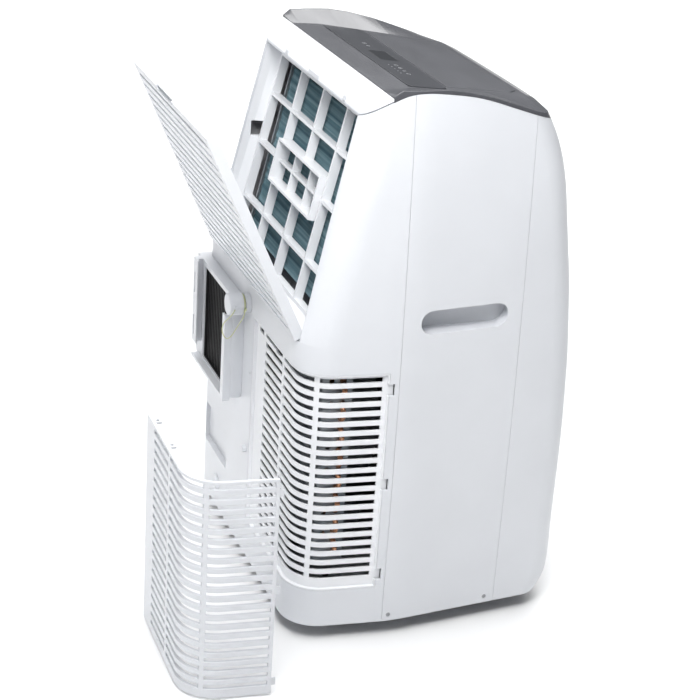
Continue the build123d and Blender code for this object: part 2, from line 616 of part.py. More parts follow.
with BuildPart() as drain_cap:
    rod_along_y(DRAIN_X, CAP_Y, DRAIN_Z, CAP_RADIUS)
    fillet(drain_cap.faces().sort_by(Axis.Y)[-1].edges(), radius=2.5)
    rod_along_y(DRAIN_X, (CAP_Y[0] - 1.0, 225.0), DRAIN_Z, SPIGOT_RADIUS + 0.3, mode=Mode.SUBTRACT)
    with Locations((DRAIN_X - CAP_RADIUS - 0.8, 221.0, DRAIN_Z + 1.0)):
        Box(4.0, 4.0, 4.0)
save(drain_cap.part, "drain_cap")

with BuildPart() as tether_ring:
    rod_along_y(DRAIN_X, (206.2, 208.4), DRAIN_Z, 13.0)
    rod_along_y(DRAIN_X, (206.0, 208.6), DRAIN_Z, 9.8, mode=Mode.SUBTRACT)
    box_between((-14.0, -9.0), (206.2, 208.4), (DRAIN_Z - 5.0, DRAIN_Z - 1.0))
save(tether_ring.part, "tether_ring")

TETHER_RADIUS = 0.65
TETHER_ROUTE = (
    (-14.0, 222.0, 384.5),
    (-14.5, 225.5, 378.0),
    (-9.0, 230.0, 370.0),
    (0.0, 232.5, 361.5),
    (7.5, 232.5, 351.0),
    (10.5, 230.5, 340.5),
    (6.5, 226.5, 334.5),
    (1.5, 221.5, 339.5),
    (-0.5, 216.5, 349.5),
    (-4.0, 211.5, 361.5),
    (-9.5, 208.0, 371.5),
    (-12.0, 207.3, 380.8),
)


def corner_radii(route):
    """The arc at each inner point of a route, as large as its runs allow."""
    radii = []
    for i in range(1, len(route) - 1):
        before = Vector(*route[i]) - Vector(*route[i - 1])
        after = Vector(*route[i + 1]) - Vector(*route[i])
        turn = radians(before.get_angle(after))
        radii.append(0.45 * min(before.length, after.length) / tan(turn / 2))
    return radii


tether_radii = corner_radii(TETHER_ROUTE)
print("tether radii", [round(r, 1) for r in tether_radii])
with BuildPart() as cap_tether:
    with BuildLine() as tether_path:
        FilletPolyline(*TETHER_ROUTE, radius=tether_radii)
    with BuildSketch(Plane(tether_path.line @ 0, z_dir=tether_path.line % 0)):
        Circle(TETHER_RADIUS)
    sweep()
save(cap_tether.part, "cap_tether")
tether_length = sum(edge.length for edge in tether_path.line.edges())
print("tether length", round(tether_length, 1))
print("tether volume ratio", cap_tether.part.volume / (pi * TETHER_RADIUS**2 * tether_length))

with BuildPart() as power_gland:
    rod_along_y(GLAND_X, (184.0, REAR_Y + 0.2), GLAND_Z, 8.0)
    rod_along_y(GLAND_X, (REAR_Y + 0.2, 203.0), GLAND_Z, 12.0)
    fillet(power_gland.faces().sort_by(Axis.Y)[-1].edges(), radius=2.0)
    rod_along_y(GLAND_X, (180.0, 210.0), GLAND_Z, 3.6, mode=Mode.SUBTRACT)
save(power_gland.part, "power_gland")

# ---------------------------------------------------------------- dark top
print("top cover")


def half_width(y):
    """Half the width of the casing's top at a place along its depth."""
    taper = REAR_TAPER * (y - SIDE_APEX_Y) if y > SIDE_APEX_Y else FRONT_TAPER * (SIDE_APEX_Y - y)
    return SIDE_APEX_X - side_lean(720.0) - taper


# Stations along the depth: y, height of the rim, height of the trough floor, half
# width of the trough floor.
TOP_STATIONS = (
    (101.5, 718.6, 717.5, 171.0),
    (90.5, 726.3, 717.3, 169.0),
    (63.0, 726.3, 716.8, 164.0),
    (34.0, 726.0, 713.2, 159.0),
    (6.0, 721.8, 709.7, 154.0),
    (-31.0, 712.8, 705.0, 147.5),
    (-59.0, 703.8, 701.5, 142.5),
    (-86.0, 694.8, 698.0, 137.5),
    (-105.0, 688.5, 695.2, 134.0),
    (-121.0, 683.0, 688.5, 128.0),
    (-140.0, 675.0, 679.0, 120.0),
    (-215.0, 642.0, 646.0, 100.0),
)
TRAY_FLOOR_Z = 630.0


def top_form(drop):
    """Everything under the top surface, lowered by an amount."""
    with BuildPart() as form:
        for y, rim_z, floor_z, floor_half in TOP_STATIONS:
            rim_half = half_width(y) - 3.5
            outline = (
                (-260.0, TRAY_FLOOR_Z),
                (260.0, TRAY_FLOOR_Z),
                (260.0, rim_z - drop),
                (rim_half, rim_z - drop),
                (floor_half, floor_z - drop),
                (-floor_half, floor_z - drop),
                (-rim_half, rim_z - drop),
                (-260.0, rim_z - drop),
            )
            with BuildSketch(Plane.XZ.offset(-y)):
                Polygon(*outline, align=None)
        loft(ruled=True)
    return form.part


COVER_SKIN = 3.0
top_outer = top_form(0.0)
top_inner = top_form(COVER_SKIN)
upper_3 = casing_blank(UPPER_STATIONS[3:], WALL + 0.3)
upper_6 = casing_blank(UPPER_STATIONS[3:], WALL + 3.0)
FLAP_HALF = (139.0, 131.0)
FLAP_Y = (-99.0, 4.0)
FLAP_AXIS_Y = 2.0
FLAP_AXIS_Z = 707.4
FLAP_PIN = 1.2
PLATE_Y = (9.0, 62.0)
PLATE_HALF = (152.0, 157.0)
WINDOW_HALF = 26.0
WINDOW_Y = (22.0, 48.0)
PLATE_ORIGIN_Y = 6.5
plate_plane = Plane(
    origin=(0.0, PLATE_ORIGIN_Y, 708.5), x_dir=(1.0, 0.0, 0.0), z_dir=(0.0, -0.125, 0.992)
)


def flap_outline(growth):
    """The flap seen from above, in the active sketch."""
    low_y, high_y = FLAP_Y[0] - growth, FLAP_Y[1] + growth
    corners = (
        (FLAP_HALF[0] + growth, high_y),
        (FLAP_HALF[1] + growth, low_y + 14.0),
        (FLAP_HALF[1] + growth - 14.0, low_y),
        (-FLAP_HALF[1] - growth + 14.0, low_y),
        (-FLAP_HALF[1] - growth, low_y + 14.0),
        (-FLAP_HALF[0] - growth, high_y),
    )
    return Polygon(*corners, align=None)


def plate_outline(growth):
    """The control plate seen along its own normal, in the active sketch."""
    low_y, high_y = PLATE_Y[0] - PLATE_ORIGIN_Y - growth, PLATE_Y[1] - PLATE_ORIGIN_Y + growth
    corners = (
        (-PLATE_HALF[0] - growth, low_y),
        (PLATE_HALF[0] + growth, low_y),
        (PLATE_HALF[1] + growth, high_y),
        (-PLATE_HALF[1] - growth, high_y),
    )
    return Polygon(*corners, align=None)


with BuildPart() as top_cover:
    add(outer_upper)
    add(above_crown(COVER_LIP - GAP), mode=Mode.INTERSECT)
    add(keep_band(-300.0, COVER_REAR_Y), mode=Mode.INTERSECT)
with BuildPart() as cover_skirt:
    add(upper_3)
    add(above_crown(24.0), mode=Mode.INTERSECT)
    add(keep_band(-300.0, COVER_REAR_Y - 0.5), mode=Mode.INTERSECT)
with BuildPart() as cover_hollow:
    add(upper_6)
    add(top_inner, mode=Mode.INTERSECT)
    add(keep_band(-300.0, COVER_REAR_Y - 3.5), mode=Mode.INTERSECT)
cover_solid = (top_cover.part + cover_skirt.part) & top_outer
with BuildPart() as finished_cover:
    add(cover_solid)
    add(cover_hollow.part, mode=Mode.SUBTRACT)
    with BuildSketch(Plane.XY.offset(640.0)):
        flap_outline(1.1)
    extrude(amount=100.0, mode=Mode.SUBTRACT)
    # Seat for the control plate.
    with BuildSketch(plate_plane):
        plate_outline(GAP)
    extrude(amount=20.0, mode=Mode.SUBTRACT)
    for boss_x in (-143.5, 143.5):
        box_between((boss_x - 3.0, boss_x + 3.0), (-2.0, 7.0), (702.0, 708.6))
    rod_along_x((-147.5, 147.5), FLAP_AXIS_Y, FLAP_AXIS_Z, FLAP_PIN + SHAFT_GAP, mode=Mode.SUBTRACT)
save(finished_cover.part, "top_cover")

print("control plate and flap")
with BuildPart() as control_plate:
    with BuildSketch(plate_plane.offset(0.2)):
        plate_outline(0.0)
    extrude(amount=1.8)
    fillet(control_plate.edges().filter_by(lambda e: abs((e % 0.5).Z) > 0.9), radius=9.0)
    with BuildSketch(plate_plane.offset(1.0)):
        with Locations((0.0, (WINDOW_Y[0] + WINDOW_Y[1]) / 2 - PLATE_ORIGIN_Y)):
            RectangleRounded(2 * WINDOW_HALF, WINDOW_Y[1] - WINDOW_Y[0], 3.0)
    extrude(amount=3.0, mode=Mode.SUBTRACT)
save(control_plate.part, "control_plate")

with BuildPart() as display_window:
    with BuildSketch(plate_plane.offset(1.05)):
        with Locations((0.0, (WINDOW_Y[0] + WINDOW_Y[1]) / 2 - PLATE_ORIGIN_Y)):
            RectangleRounded(2 * WINDOW_HALF - 0.3, WINDOW_Y[1] - WINDOW_Y[0] - 0.3, 2.8)
    extrude(amount=0.95)
save(display_window.part, "display_window")

FLAP_SKIN = 2.8
with BuildPart() as flap_blank:
    with BuildSketch(Plane.XY.offset(640.0)):
        flap_outline(0.0)
    extrude(amount=100.0)
    add(top_outer, mode=Mode.INTERSECT)
    add(top_form(FLAP_SKIN), mode=Mode.SUBTRACT)
with BuildPart() as louvre_flap:
    add(flap_blank.part)
    for pin_low, pin_high in ((-145.5, -133.0), (133.0, 145.5)):
        rod_along_x((pin_low, pin_high), FLAP_AXIS_Y, FLAP_AXIS_Z, FLAP_PIN)
save(louvre_flap.part, "louvre_flap")

# ---------------------------------------------------------------- outlet duct and vanes
print("outlet")
DUCT_X = (-130.0, 130.0)
DUCT_Y = (-88.0, -8.0)
DUCT_Z = (640.0, 690.0)
VANE_PIVOT_Y = -46.0
VANE_XS = (-96.0, -32.0, 32.0, 96.0)
VANE_PIN = 1.5
LINK_ARM = 24.0
with BuildPart() as outlet_duct:
    box_between(DUCT_X, DUCT_Y, DUCT_Z)
    duct_inside = (DUCT_X[0] + 2.5, DUCT_X[1] - 2.5)
    box_between(duct_inside, (DUCT_Y[0] + 2.5, DUCT_Y[1] - 2.5), (630.0, 700.0), mode=Mode.SUBTRACT)
    for rail_z in ((641.0, 645.0), (684.5, 688.5)):
        box_between((DUCT_X[0] + 1.0, DUCT_X[1] - 1.0), (VANE_PIVOT_Y - 4.0, VANE_PIVOT_Y + 4.0), rail_z)
    for vane_x in VANE_XS:
        rod_along_z(vane_x, VANE_PIVOT_Y, (630.0, 700.0), VANE_PIN + SHAFT_GAP, mode=Mode.SUBTRACT)
save(outlet_duct.part, "outlet_duct")

for number, vane_x in enumerate(VANE_XS, start=1):
    with BuildPart() as vane:
        box_between((vane_x - 0.8, vane_x + 0.8), (VANE_PIVOT_Y - 32.0, VANE_PIVOT_Y + 32.0), (646.0, 683.5))
        fillet(vane.edges().filter_by(Axis.X), radius=6.0)
        rod_along_z(vane_x, VANE_PIVOT_Y, (642.0, 687.5), VANE_PIN)
        rod_along_z(vane_x, VANE_PIVOT_Y + LINK_ARM, (682.0, 689.0), 1.2)
    save(vane.part, f"vane_{number}")

with BuildPart() as vane_link:
    link_y = VANE_PIVOT_Y + LINK_ARM
    box_between((VANE_XS[0] - 6.0, VANE_XS[-1] + 6.0), (link_y - 5.5, link_y + 5.5), (684.5, 686.5))
    for vane_x in VANE_XS:
        peg_slot = (link_y - 4.0, link_y + 2.0)
        box_between((vane_x - 1.9, vane_x + 1.9), peg_slot, (680.0, 690.0), mode=Mode.SUBTRACT)
save(vane_link.part, "vane_link")

# ---------------------------------------------------------------- cooling circuit
print("cooling circuit")
COIL_FACE = GUARD_FACE - GUARD_DEPTH - 4.0
COIL_DEPTH = 36.0
COIL_V = (up_face(440.0), up_face(668.0))
COIL_X = (-168.0, 162.0)
coil_plane = leaning.offset(COIL_FACE)
with BuildPart() as evaporator_coil:
    with BuildSketch(coil_plane):
        guard_rect(COIL_X, COIL_V)
    extrude(amount=-COIL_DEPTH)
save(evaporator_coil.part, "evaporator_coil")

with BuildPart() as evaporator_end_plates:
    with BuildSketch(coil_plane.offset(2.0)):
        guard_rect((COIL_X[0] - 2.2, COIL_X[0] - 0.2), (COIL_V[0] - 4.0, COIL_V[1] + 4.0))
        guard_rect((COIL_X[1] + 0.2, COIL_X[1] + 2.2), (COIL_V[0] - 4.0, COIL_V[1] + 4.0))
    extrude(amount=-COIL_DEPTH - 4.0)
save(evaporator_end_plates.part, "evaporator_end_plates")

TUBE_RADIUS = 3.5
BEND_RADIUS = 10.0


def return_bends(name, end_x, outward, places, across):
    """U-bends of copper tube that stand out past one end of a coil."""
    with BuildPart() as bends:
        for y, z in places:
            with Locations(Plane(origin=(end_x, y, z), x_dir=(1.0, 0.0, 0.0), z_dir=across)):
                Torus(BEND_RADIUS, TUBE_RADIUS)
        low_x, high_x = sorted((end_x, end_x + outward * 20.0))
        box_between((low_x, high_x), (-300.0, 300.0), (0.0, 800.0), mode=Mode.INTERSECT)
    save(bends.part, name)


evaporator_places = []
for i in range(5):
    bend_v = COIL_V[0] + 26.0 + 45.0 * i
    bend_center = coil_plane.offset(-COIL_DEPTH / 2).from_local_coords(Vector(0.0, bend_v, 0.0))
    evaporator_places.append((bend_center.Y, bend_center.Z))
return_bends("evaporator_bends", COIL_X[1] + 2.4, 1, evaporator_places, leaning.z_dir)

CONDENSER_X = (-196.0, 28.0)
CONDENSER_Y = (122.0, 162.0)
CONDENSER_Z = (96.0, 372.0)
with BuildPart() as condenser_coil:
    box_between(CONDENSER_X, CONDENSER_Y, CONDENSER_Z)
save(condenser_coil.part, "condenser_coil")
condenser_places = [(CONDENSER_Y[0] + 14.0, CONDENSER_Z[0] + 26.0 + 32.0 * i) for i in range(8)]
return_bends("condenser_bends", CONDENSER_X[0] - 0.2, -1, condenser_places, (0.0, 1.0, 0.0))

with BuildPart() as drip_tray:
    box_between((-186.0, 186.0), (40.0, 156.0), (398.0, 418.0))
    box_between((-183.5, 183.5), (42.5, 153.5), (401.0, 430.0), mode=Mode.SUBTRACT)
    rod_along_y(DRAIN_X, (142.0, 181.5), 390.0, 5.5)
    box_between((DRAIN_X - 5.5, DRAIN_X + 5.5), (142.0, 154.0), (390.0, 399.0))
save(drip_tray.part, "drip_tray")

COMPRESSOR = (-105.0, -50.0)
with BuildPart() as compressor:
    rod_along_z(*COMPRESSOR, (58.0, 226.0), 56.0)
    fillet(compressor.edges().filter_by(GeomType.CIRCLE), radius=24.0)
    with Locations((*COMPRESSOR, 56.5)):
        Box(128.0, 112.0, 3.0)
    rod_along_z(*COMPRESSOR, (224.0, 236.0), 12.0)
save(compressor.part, "compressor")

with BuildPart() as compressor_mounts:
    for dx in (-54.0, 54.0):
        for dy in (-46.0, 46.0):
            rod_along_z(COMPRESSOR[0] + dx, COMPRESSOR[1] + dy, (46.0, 55.0), 9.0)
save(compressor_mounts.part, "compressor_mounts")

ACCUMULATOR = (-24.0, -84.0)
with BuildPart() as accumulator:
    rod_along_z(*ACCUMULATOR, (90.0, 215.0), 21.0)
    fillet(accumulator.edges().filter_by(GeomType.CIRCLE), radius=14.0)
save(accumulator.part, "accumulator")

PIPE_ROUTE = (
    (ACCUMULATOR[0], ACCUMULATOR[1], 215.2),
    (ACCUMULATOR[0], ACCUMULATOR[1], 300.0),
    (-24.0, 0.0, 300.0),
    (-24.0, 0.0, 398.0),
)
with BuildPart() as copper_pipe:
    with BuildLine() as pipe_path:
        FilletPolyline(*PIPE_ROUTE, radius=22.0)
    with BuildSketch(Plane(pipe_path.line @ 0, z_dir=pipe_path.line % 0)):
        Circle(5.0)
    sweep()
save(copper_pipe.part, "copper_pipe")

# ---------------------------------------------------------------- blowers
print("blowers")
BLADE_COUNT = 24
BLADE_SET = 35.0  # turn of each blade from the radius, in degrees


def blower_wheel(name, x, z, back_y, radius, depth, shaft_end):
    """A squirrel-cage wheel on its shaft, turning about Y."""
    with BuildPart() as wheel:
        rod_along_y(x, (back_y, back_y + 2.0), z, radius)
        for ring_y in (back_y, back_y + depth - 3.0):
            rod_along_y(x, (ring_y, ring_y + 3.0), z, radius)
            rod_along_y(x, (ring_y - 1.0, ring_y + 4.0), z, radius - 12.0, mode=Mode.SUBTRACT)
        rod_along_y(x, (back_y, back_y + 2.0), z, radius - 6.0)
        for i in range(BLADE_COUNT):
            angle = 2 * pi * i / BLADE_COUNT
            blade_x = x + (radius - 6.0) * cos(angle)
            blade_z = z + (radius - 6.0) * sin(angle)
            blade_turn = (0.0, BLADE_SET - degrees(angle), 0.0)
            with Locations(Location((blade_x, back_y + depth / 2, blade_z), blade_turn)):
                Box(10.0, depth - 2.0, 1.2)
        rod_along_y(x, (back_y - 10.0, back_y + 14.0), z, 11.0)
        rod_along_y(x, (shaft_end, back_y + 10.0), z, 4.0)
    save(wheel.part, name)


def blower_motor(name, x, z, ys, radius, bore_from):
    with BuildPart() as motor:
        rod_along_y(x, ys, z, radius)
        fillet(motor.edges().filter_by(GeomType.CIRCLE), radius=7.0)
        rod_along_y(x, (bore_from, ys[1] + 1.0), z, 4.0 + SHAFT_GAP, mode=Mode.SUBTRACT)
        for angle in (45.0, 135.0, 225.0, 315.0):
            lug_x = x + (radius + 3.0) * cos(radians(angle))
            lug_z = z + (radius + 3.0) * sin(radians(angle))
            rod_along_y(lug_x, (ys[1] - 6.0, ys[1] - 1.0), lug_z, 6.0)
    save(motor.part, name)


UPPER_FAN = (0.0, 534.0)
LOWER_FAN = (32.0, 214.0)
with BuildPart() as upper_scroll:
    rod_along_y(UPPER_FAN[0], (-14.0, 56.0), UPPER_FAN[1], 104.0)
    box_between((-104.0, 60.0), (-14.0, 56.0), (UPPER_FAN[1], 638.0))
    rod_along_y(UPPER_FAN[0], (-11.5, 53.5), UPPER_FAN[1], 101.5, mode=Mode.SUBTRACT)
    box_between((-101.5, 57.5), (-11.5, 53.5), (UPPER_FAN[1], 640.0), mode=Mode.SUBTRACT)
    rod_along_y(UPPER_FAN[0], (50.0, 60.0), UPPER_FAN[1], 70.0, mode=Mode.SUBTRACT)
    rod_along_y(UPPER_FAN[0], (-20.0, 0.0), UPPER_FAN[1], 16.0, mode=Mode.SUBTRACT)
save(upper_scroll.part, "upper_scroll")
blower_wheel("upper_blower_wheel", *UPPER_FAN, -6.0, 88.0, 52.0, -60.0)
blower_motor("upper_blower_motor", *UPPER_FAN, (-84.0, -17.0), 40.0, -62.0)

with BuildPart() as lower_scroll:
    rod_along_y(LOWER_FAN[0], (28.0, 98.0), LOWER_FAN[1], 98.0)
    box_between((34.0, 163.0), (28.0, 98.0), (LOWER_FAN[1] + 28.0, 382.0))
    box_between((34.0, 163.0), (28.0, 188.0), (240.0, 382.0))
    rod_along_y(LOWER_FAN[0], (30.5, 95.5), LOWER_FAN[1], 95.5, mode=Mode.SUBTRACT)
    box_between((36.5, 160.5), (30.5, 95.5), (LOWER_FAN[1], 379.5), mode=Mode.SUBTRACT)
    box_between((36.5, 160.5), (60.0, 190.0), (310.0, 379.5), mode=Mode.SUBTRACT)
    box_between((36.5, 160.5), (100.5, 190.0), (242.5, 379.5), mode=Mode.SUBTRACT)
    rod_along_y(LOWER_FAN[0], (94.0, 99.0), LOWER_FAN[1], 62.0, mode=Mode.SUBTRACT)
    rod_along_y(LOWER_FAN[0], (20.0, 40.0), LOWER_FAN[1], 16.0, mode=Mode.SUBTRACT)
save(lower_scroll.part, "lower_scroll")
blower_wheel("lower_blower_wheel", *LOWER_FAN, 38.0, 82.0, 52.0, -16.0)
blower_motor("lower_blower_motor", *LOWER_FAN, (-40.0, 25.0), 38.0, -18.0)

SLINGER = (-60.0, 90.0)
with BuildPart() as slinger_wheel:
    rod_along_y(SLINGER[0], (106.0, 109.0), SLINGER[1], 34.0)
    rod_along_y(SLINGER[0], (105.0, 110.0), SLINGER[1], 26.0, mode=Mode.SUBTRACT)
    rod_along_y(SLINGER[0], (100.0, 109.0), SLINGER[1], 7.0)
    for angle in (0.0, 60.0, 120.0):
        with Locations(Location((SLINGER[0], 107.5, SLINGER[1]), (0.0, angle, 0.0))):
            Box(62.0, 2.5, 5.0)
    rod_along_y(SLINGER[0], (78.0, 101.0), SLINGER[1], 2.5)
save(slinger_wheel.part, "slinger_wheel")

with BuildPart() as slinger_motor:
    rod_along_y(SLINGER[0], (52.0, 96.0), SLINGER[1], 22.0)
    fillet(slinger_motor.edges().filter_by(GeomType.CIRCLE), radius=4.0)
    box_between((SLINGER[0] - 14.0, SLINGER[0] + 14.0), (58.0, 90.0), (46.2, SLINGER[1]))
    rod_along_y(SLINGER[0], (76.0, 97.0), SLINGER[1], 2.5 + SHAFT_GAP, mode=Mode.SUBTRACT)
save(slinger_motor.part, "slinger_motor")

with BuildPart() as control_box:
    box_between((100.0, 190.0), (-120.0, -66.0), (80.0, 330.0))
    fillet(control_box.edges().filter_by(Axis.Z), radius=4.0)
    box_between((101.5, 188.5), (-118.5, -67.5), (81.5, 328.5), mode=Mode.SUBTRACT)
save(control_box.part, "control_box")
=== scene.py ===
import json
import math

import bmesh
import bpy
from mathutils import Matrix, Vector


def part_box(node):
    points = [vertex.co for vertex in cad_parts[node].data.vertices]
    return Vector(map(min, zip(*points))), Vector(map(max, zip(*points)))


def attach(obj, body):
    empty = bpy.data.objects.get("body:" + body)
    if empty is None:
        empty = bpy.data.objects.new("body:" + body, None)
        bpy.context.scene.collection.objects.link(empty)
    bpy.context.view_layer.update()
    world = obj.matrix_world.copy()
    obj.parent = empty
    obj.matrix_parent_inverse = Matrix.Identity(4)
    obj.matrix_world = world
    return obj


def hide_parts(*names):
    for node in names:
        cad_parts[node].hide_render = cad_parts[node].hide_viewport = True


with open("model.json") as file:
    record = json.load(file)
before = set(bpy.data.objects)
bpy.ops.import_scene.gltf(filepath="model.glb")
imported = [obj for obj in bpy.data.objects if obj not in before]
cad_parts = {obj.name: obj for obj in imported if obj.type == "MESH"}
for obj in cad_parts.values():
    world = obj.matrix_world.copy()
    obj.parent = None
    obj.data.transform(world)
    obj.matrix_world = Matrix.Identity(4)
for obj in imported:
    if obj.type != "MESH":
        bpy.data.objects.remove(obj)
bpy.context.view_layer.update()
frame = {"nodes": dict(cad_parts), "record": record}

MM = 0.001

# ------------------------------------------------------------------ camera
CAMERA_PLACE = Vector((-2.033, 0.852, 1.247))
CAMERA_RIGHT = Vector((-0.340, -0.938, 0.063))
CAMERA_UP = Vector((0.392, -0.081, 0.916))
LENS = 89.8
SENSOR = 36.0


def set_camera():
    back = CAMERA_RIGHT.cross(CAMERA_UP).normalized()
    right = CAMERA_UP.cross(back).normalized()
    up = back.cross(right)
    data = bpy.data.cameras.new("camera")
    data.lens = LENS
    data.sensor_width = SENSOR
    data.clip_end = 50.0
    camera = bpy.data.objects.new("camera", data)
    bpy.context.scene.collection.objects.link(camera)
    turn = Matrix((right, up, back)).transposed().to_4x4()
    camera.matrix_world = Matrix.Translation(CAMERA_PLACE) @ turn
    bpy.context.scene.camera = camera


# ------------------------------------------------------------------ meshes
BOX_FACES = ((0, 1, 3, 2), (4, 6, 7, 5), (0, 4, 5, 1), (2, 3, 7, 6), (0, 2, 6, 4), (1, 5, 7, 3))


def add_piece(name, mesh, material, smooth_angle=None):
    piece = bpy.data.objects.new(name, mesh)
    bpy.context.scene.collection.objects.link(piece)
    mesh.materials.append(material)
    if smooth_angle is not None:
        for polygon in mesh.polygons:
            polygon.use_smooth = True
        mesh.set_sharp_from_angle(angle=math.radians(smooth_angle))
    return piece


def mesh_from(name, form):
    """Turn a bmesh into a mesh with its faces pointing outward."""
    bmesh.ops.recalc_face_normals(form, faces=form.faces)
    mesh = bpy.data.meshes.new(name)
    form.to_mesh(mesh)
    form.free()
    return mesh


def add_block(form, low, high, place=None):
    """A box between two corners, then moved by a matrix."""
    ranges = list(zip(low, high))
    corners = [Vector((x, y, z)) for x in ranges[0] for y in ranges[1] for z in ranges[2]]
    if place is not None:
        corners = [place @ corner for corner in corners]
    verts = [form.verts.new(corner) for corner in corners]
    for face in BOX_FACES:
        form.faces.new([verts[k] for k in face])


def add_tube(form, points, radius, sides=12, place=None):
    """A round tube along a list of points, closed at both ends."""
    rings = []
    count = len(points)
    for i, point in enumerate(points):
        ahead = points[min(i + 1, count - 1)] - points[max(i - 1, 0)]
        along = ahead.normalized()
        across = along.orthogonal().normalized()
        if rings:
            across = (rings_across - along * rings_across.dot(along)).normalized()
        rings_across = across
        other = along.cross(across)
        ring = []
        for k in range(sides):
            angle = 2 * math.pi * k / sides
            spot = point + radius * (math.cos(angle) * across + math.sin(angle) * other)
            ring.append(form.verts.new(place @ spot if place is not None else spot))
        rings.append(ring)
    for first, second in zip(rings, rings[1:]):
        for k in range(sides):
            form.faces.new((first[k], first[(k + 1) % sides], second[(k + 1) % sides], second[k]))
    form.faces.new(rings[0][::-1])
    form.faces.new(rings[-1])


# ------------------------------------------------------------------ materials
class Finish:
    """A node material: constants go on the shader's sockets, detail comes from nodes."""

    def __init__(self, name, color, roughness, metallic=0.0):
        self.material = bpy.data.materials.new(name)
        self.material.use_nodes = True
        self.tree = self.material.node_tree
        self.shader = self.tree.nodes["Principled BSDF"]
        self.shader.inputs["Base Color"].default_value = (*color, 1.0)
        self.shader.inputs["Roughness"].default_value = roughness
        self.shader.inputs["Metallic"].default_value = metallic
        self.color = color
        self.place = self.tree.nodes.new("ShaderNodeTexCoord").outputs["Object"]
        self.normal = None

    def join(self, source, target):
        self.tree.links.new(source, target)

    def stretched(self, scale):
        mapping = self.tree.nodes.new("ShaderNodeMapping")
        mapping.inputs["Scale"].default_value = scale
        self.join(self.place, mapping.inputs["Vector"])
        return mapping.outputs["Vector"]

    def noise(self, scale, detail=3.0, stretch=(1.0, 1.0, 1.0)):
        node = self.tree.nodes.new("ShaderNodeTexNoise")
        node.inputs["Scale"].default_value = scale
        node.inputs["Detail"].default_value = detail
        self.join(self.stretched(stretch), node.inputs["Vector"])
        return node.outputs["Fac"]

    def bands(self, scale, direction, distortion=0.0):
        node = self.tree.nodes.new("ShaderNodeTexWave")
        node.wave_type = "BANDS"
        node.bands_direction = direction
        node.inputs["Scale"].default_value = scale
        node.inputs["Distortion"].default_value = distortion
        node.inputs["Detail"].default_value = 1.0
        self.join(self.place, node.inputs["Vector"])
        return node.outputs["Fac"]

    def ramp(self, value, stops):
        node = self.tree.nodes.new("ShaderNodeValToRGB")
        points = node.color_ramp.elements
        while len(points) < len(stops):
            points.new(0.5)
        for point, (position, color) in zip(points, stops):
            point.position = position
            point.color = (*color, 1.0)
        self.join(value, node.inputs["Fac"])
        return node.outputs["Color"]

    def blend(self, kind, factor, first, second):
        node = self.tree.nodes.new("ShaderNodeMix")
        node.data_type = "RGBA"
        node.blend_type = kind
        if isinstance(factor, float):
            node.inputs["Factor"].default_value = factor
        else:
            self.join(factor, node.inputs["Factor"])
        self.join(first, node.inputs[6])
        self.join(second, node.inputs[7])
        return node.outputs[2]

    def tint(self, color):
        self.join(color, self.shader.inputs["Base Color"])
        return self

    def vary_roughness(self, value, low, high):
        node = self.tree.nodes.new("ShaderNodeMapRange")
        node.inputs["To Min"].default_value = low
        node.inputs["To Max"].default_value = high
        self.join(value, node.inputs["Value"])
        self.join(node.outputs["Result"], self.shader.inputs["Roughness"])
        return self

    def round_edges(self, radius):
        node = self.tree.nodes.new("ShaderNodeBevel")
        node.samples = 4
        node.inputs["Radius"].default_value = radius
        self.normal = node.outputs["Normal"]
        self.join(self.normal, self.shader.inputs["Normal"])
        return self

    def bump(self, value, strength, distance):
        node = self.tree.nodes.new("ShaderNodeBump")
        node.inputs["Strength"].default_value = strength
        node.inputs["Distance"].default_value = distance
        self.join(value, node.inputs["Height"])
        if self.normal is not None:
            self.join(self.normal, node.inputs["Normal"])
        self.normal = node.outputs["Normal"]
        self.join(self.normal, self.shader.inputs["Normal"])
        return self


def scaled(color, amount):
    return tuple(channel * amount for channel in color)


def moulded(name, color, roughness, grain=1400.0, edge=0.0006, coat=0.0, depth=0.12):
    """Moulded plastic: fine spark grain, faint flow mottling, softened edges."""
    finish = Finish(name, color, roughness)
    mottle = finish.noise(9.0, 2.0)
    tone = finish.ramp(mottle, ((0.3, scaled(color, 0.965)), (0.7, color)))
    dust = finish.noise(60.0, 4.0)
    specks = finish.ramp(dust, ((0.45, color), (0.8, scaled(color, 0.95))))
    finish.tint(finish.blend("MULTIPLY", 0.12, tone, specks))
    finish.vary_roughness(finish.noise(24.0, 3.0), roughness - 0.05, roughness + 0.06)
    finish.round_edges(edge)
    finish.bump(finish.noise(grain, 2.0), depth, 0.00006)
    finish.shader.inputs["Coat Weight"].default_value = coat
    finish.shader.inputs["Coat Roughness"].default_value = 0.25
    return finish.material


def glossy(name, color, roughness):
    """Polished dark plastic: a hard clear surface with a trace of wiping marks."""
    finish = Finish(name, color, roughness)
    smear = finish.noise(14.0, 5.0, (1.0, 2.4, 1.0))
    finish.tint(finish.ramp(smear, ((0.3, scaled(color, 0.86)), (0.75, scaled(color, 1.12)))))
    finish.vary_roughness(finish.noise(40.0, 6.0, (1.0, 3.0, 1.0)), roughness, roughness + 0.09)
    finish.round_edges(0.0008)
    finish.bump(finish.noise(900.0, 2.0), 0.008, 0.00002)
    finish.shader.inputs["Specular IOR Level"].default_value = 0.55
    return finish.material


def metal(name, color, roughness, stretch=(1.0, 1.0, 14.0), blotch=0.85):
    finish = Finish(name, color, roughness, metallic=1.0)
    finish.tint(finish.ramp(finish.noise(30.0, 5.0), ((0.3, scaled(color, blotch)), (0.7, color))))
    finish.vary_roughness(finish.noise(90.0, 3.0, stretch), roughness - 0.06, roughness + 0.12)
    finish.round_edges(0.0003)
    finish.bump(finish.noise(700.0, 2.0, stretch), 0.08, 0.00005)
    return finish.material


